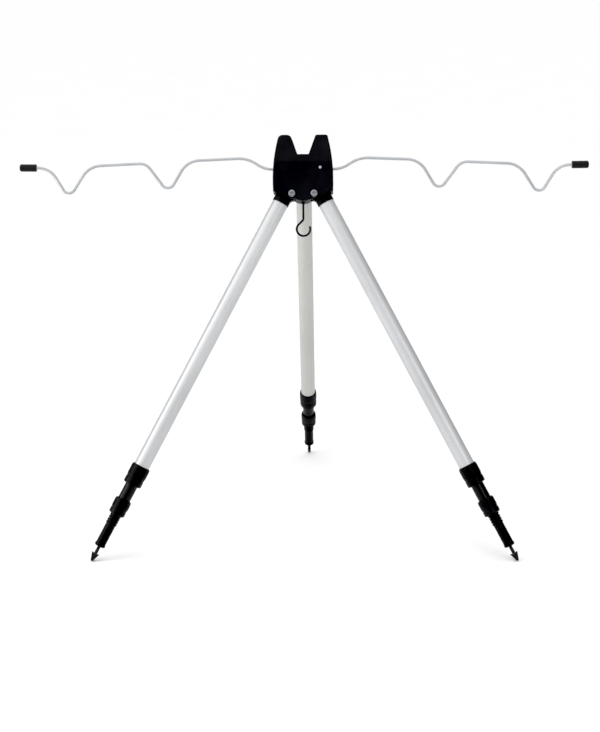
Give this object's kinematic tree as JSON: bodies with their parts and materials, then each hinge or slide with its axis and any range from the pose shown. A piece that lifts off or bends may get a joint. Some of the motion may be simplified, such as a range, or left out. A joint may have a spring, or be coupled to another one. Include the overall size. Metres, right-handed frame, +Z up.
{
  "type": "folding rod rest tripod",
  "caption": "Folding ground tripod for fishing rods: notched head, swing-up wire arms with rod dips, telescopic legs with barbed spikes and a ballast hook.",
  "frame": {"origin": "on the ground at the spikes' tips, under the middle of the whole object's bounding box", "axes": "+Z up; +X along the wire arms, to the right seen from the front; the front faces -Y and the rear leg reaches towards +Y"},
  "size_m": [0.788, 0.4898, 0.5609],
  "materials": {
    "head_plastic": "moulded black plastic",
    "knuckle_plastic": "moulded black plastic",
    "collar_plastic": "moulded black plastic",
    "foot_plastic": "moulded black plastic",
    "plug_plastic": "natural white acetal",
    "stud_plastic": "glass-filled nylon",
    "leg_aluminium": "satin silver anodised",
    "middle_tube_black": "black coated",
    "lower_tube_black": "black coated",
    "arm_wire": "bright plated steel wire",
    "cap_rubber": "soft black cap",
    "plated_steel": "zinc plated",
    "pin_steel": "bright steel",
    "hook_black": "black coated steel wire",
    "spike_steel": "blackened steel"
  },
  "bodies": {
    "head": {"head_front_shell": "head_plastic", "head_rear_shell": "head_plastic", "side_screws": "plated_steel", "side_nuts": "plated_steel", "shell_screws": "plated_steel", "rear_bolt": "plated_steel", "rear_nut": "plated_steel", "hook_pin": "pin_steel"},
    "hook": {"hook": "hook_black"},
    "right_arm": {"right_arm": "arm_wire", "right_arm_cap": "cap_rubber"},
    "left_arm": {"left_arm": "arm_wire", "left_arm_cap": "cap_rubber"},
    "left_leg": {"left_knuckle": "knuckle_plastic", "left_upper_tube": "leg_aluminium", "left_upper_collar": "collar_plastic"},
    "left_upper_plug": {"left_upper_expander": "plug_plastic"},
    "left_middle_section": {"left_middle_stud": "stud_plastic", "left_middle_tube": "middle_tube_black", "left_lower_collar": "collar_plastic"},
    "left_lower_plug": {"left_lower_expander": "plug_plastic"},
    "left_lower_section": {"left_lower_stud": "stud_plastic", "left_lower_tube": "lower_tube_black", "left_foot": "foot_plastic", "left_spike": "spike_steel"},
    "right_leg": {"right_knuckle": "knuckle_plastic", "right_upper_tube": "leg_aluminium", "right_upper_collar": "collar_plastic"},
    "right_upper_plug": {"right_upper_expander": "plug_plastic"},
    "right_middle_section": {"right_middle_stud": "stud_plastic", "right_middle_tube": "middle_tube_black", "right_lower_collar": "collar_plastic"},
    "right_lower_plug": {"right_lower_expander": "plug_plastic"},
    "right_lower_section": {"right_lower_stud": "stud_plastic", "right_lower_tube": "lower_tube_black", "right_foot": "foot_plastic", "right_spike": "spike_steel"},
    "rear_leg": {"rear_knuckle": "knuckle_plastic", "rear_upper_tube": "leg_aluminium", "rear_upper_collar": "collar_plastic"},
    "rear_upper_plug": {"rear_upper_expander": "plug_plastic"},
    "rear_middle_section": {"rear_middle_stud": "stud_plastic", "rear_middle_tube": "middle_tube_black", "rear_lower_collar": "collar_plastic"},
    "rear_lower_plug": {"rear_lower_expander": "plug_plastic"},
    "rear_lower_section": {"rear_lower_stud": "stud_plastic", "rear_lower_tube": "lower_tube_black", "rear_foot": "foot_plastic", "rear_spike": "spike_steel"}
  },
  "joints": [
    {"name": "left_leg_fold", "type": "hinge", "parent": "head", "child": "left_leg", "pos_m": [-0.0153, -0.08723, 0.47909], "axis": [0, -0.9511, 0.309], "range_deg": [0, 27.8]},
    {"name": "left_middle_slide", "type": "slide", "parent": "left_leg", "child": "left_upper_plug", "axis": [-0.4664, -0.2734, -0.8413], "range_m": [0, 0.33]},
    {"name": "left_middle_lock", "type": "hinge", "parent": "left_upper_plug", "child": "left_middle_section", "pos_m": [-0.0447, -0.09831, 0.44503], "axis": [-0.4664, -0.2734, -0.8413], "range_deg": [0, 180]},
    {"name": "left_lower_slide", "type": "slide", "parent": "left_middle_section", "child": "left_lower_plug", "axis": [-0.4664, -0.2734, -0.8413], "range_m": [0, 0.33]},
    {"name": "left_lower_lock", "type": "hinge", "parent": "left_lower_plug", "child": "left_lower_section", "pos_m": [-0.0447, -0.09831, 0.44503], "axis": [-0.4664, -0.2734, -0.8413], "range_deg": [0, 180]},
    {"name": "right_leg_fold", "type": "hinge", "parent": "head", "child": "right_leg", "pos_m": [0.0153, -0.08723, 0.47909], "axis": [0, 0.9511, -0.309], "range_deg": [0, 27.8]},
    {"name": "right_middle_slide", "type": "slide", "parent": "right_leg", "child": "right_upper_plug", "axis": [0.4664, -0.2734, -0.8413], "range_m": [0, 0.33]},
    {"name": "right_middle_lock", "type": "hinge", "parent": "right_upper_plug", "child": "right_middle_section", "pos_m": [0.0447, -0.09831, 0.44503], "axis": [0.4664, -0.2734, -0.8413], "range_deg": [0, 180]},
    {"name": "right_lower_slide", "type": "slide", "parent": "right_middle_section", "child": "right_lower_plug", "axis": [0.4664, -0.2734, -0.8413], "range_m": [0, 0.33]},
    {"name": "right_lower_lock", "type": "hinge", "parent": "right_lower_plug", "child": "right_lower_section", "pos_m": [0.0447, -0.09831, 0.44503], "axis": [0.4664, -0.2734, -0.8413], "range_deg": [0, 180]},
    {"name": "rear_leg_fold", "type": "hinge", "parent": "head", "child": "rear_leg", "pos_m": [0, -0.06004, 0.48708], "axis": [-1, 0, 0], "range_deg": [0, 49.08]},
    {"name": "rear_middle_slide", "type": "slide", "parent": "rear_leg", "child": "rear_upper_plug", "axis": [0, 0.5162, -0.8564], "range_m": [0, 0.33]},
    {"name": "rear_middle_lock", "type": "hinge", "parent": "rear_upper_plug", "child": "rear_middle_section", "pos_m": [0, -0.02863, 0.453], "axis": [0, 0.5162, -0.8564], "range_deg": [0, 180]},
    {"name": "rear_lower_slide", "type": "slide", "parent": "rear_middle_section", "child": "rear_lower_plug", "axis": [0, 0.5162, -0.8564], "range_m": [0, 0.33]},
    {"name": "rear_lower_lock", "type": "hinge", "parent": "rear_lower_plug", "child": "rear_lower_section", "pos_m": [0, -0.02863, 0.453], "axis": [0, 0.5162, -0.8564], "range_deg": [0, 180]},
    {"name": "right_arm_fold", "type": "hinge", "parent": "head", "child": "right_arm", "pos_m": [0.0236, -0.07611, 0.51333], "axis": [0, -0.9511, 0.309], "range_deg": [0, 90]},
    {"name": "left_arm_fold", "type": "hinge", "parent": "head", "child": "left_arm", "pos_m": [-0.0236, -0.07611, 0.51333], "axis": [0, 0.9511, -0.309], "range_deg": [0, 90]},
    {"name": "hook_swing", "type": "hinge", "parent": "head", "child": "hook", "pos_m": [0, -0.08754, 0.47814], "axis": [-1, 0, 0], "range_deg": [-6, 40]}
  ]
}
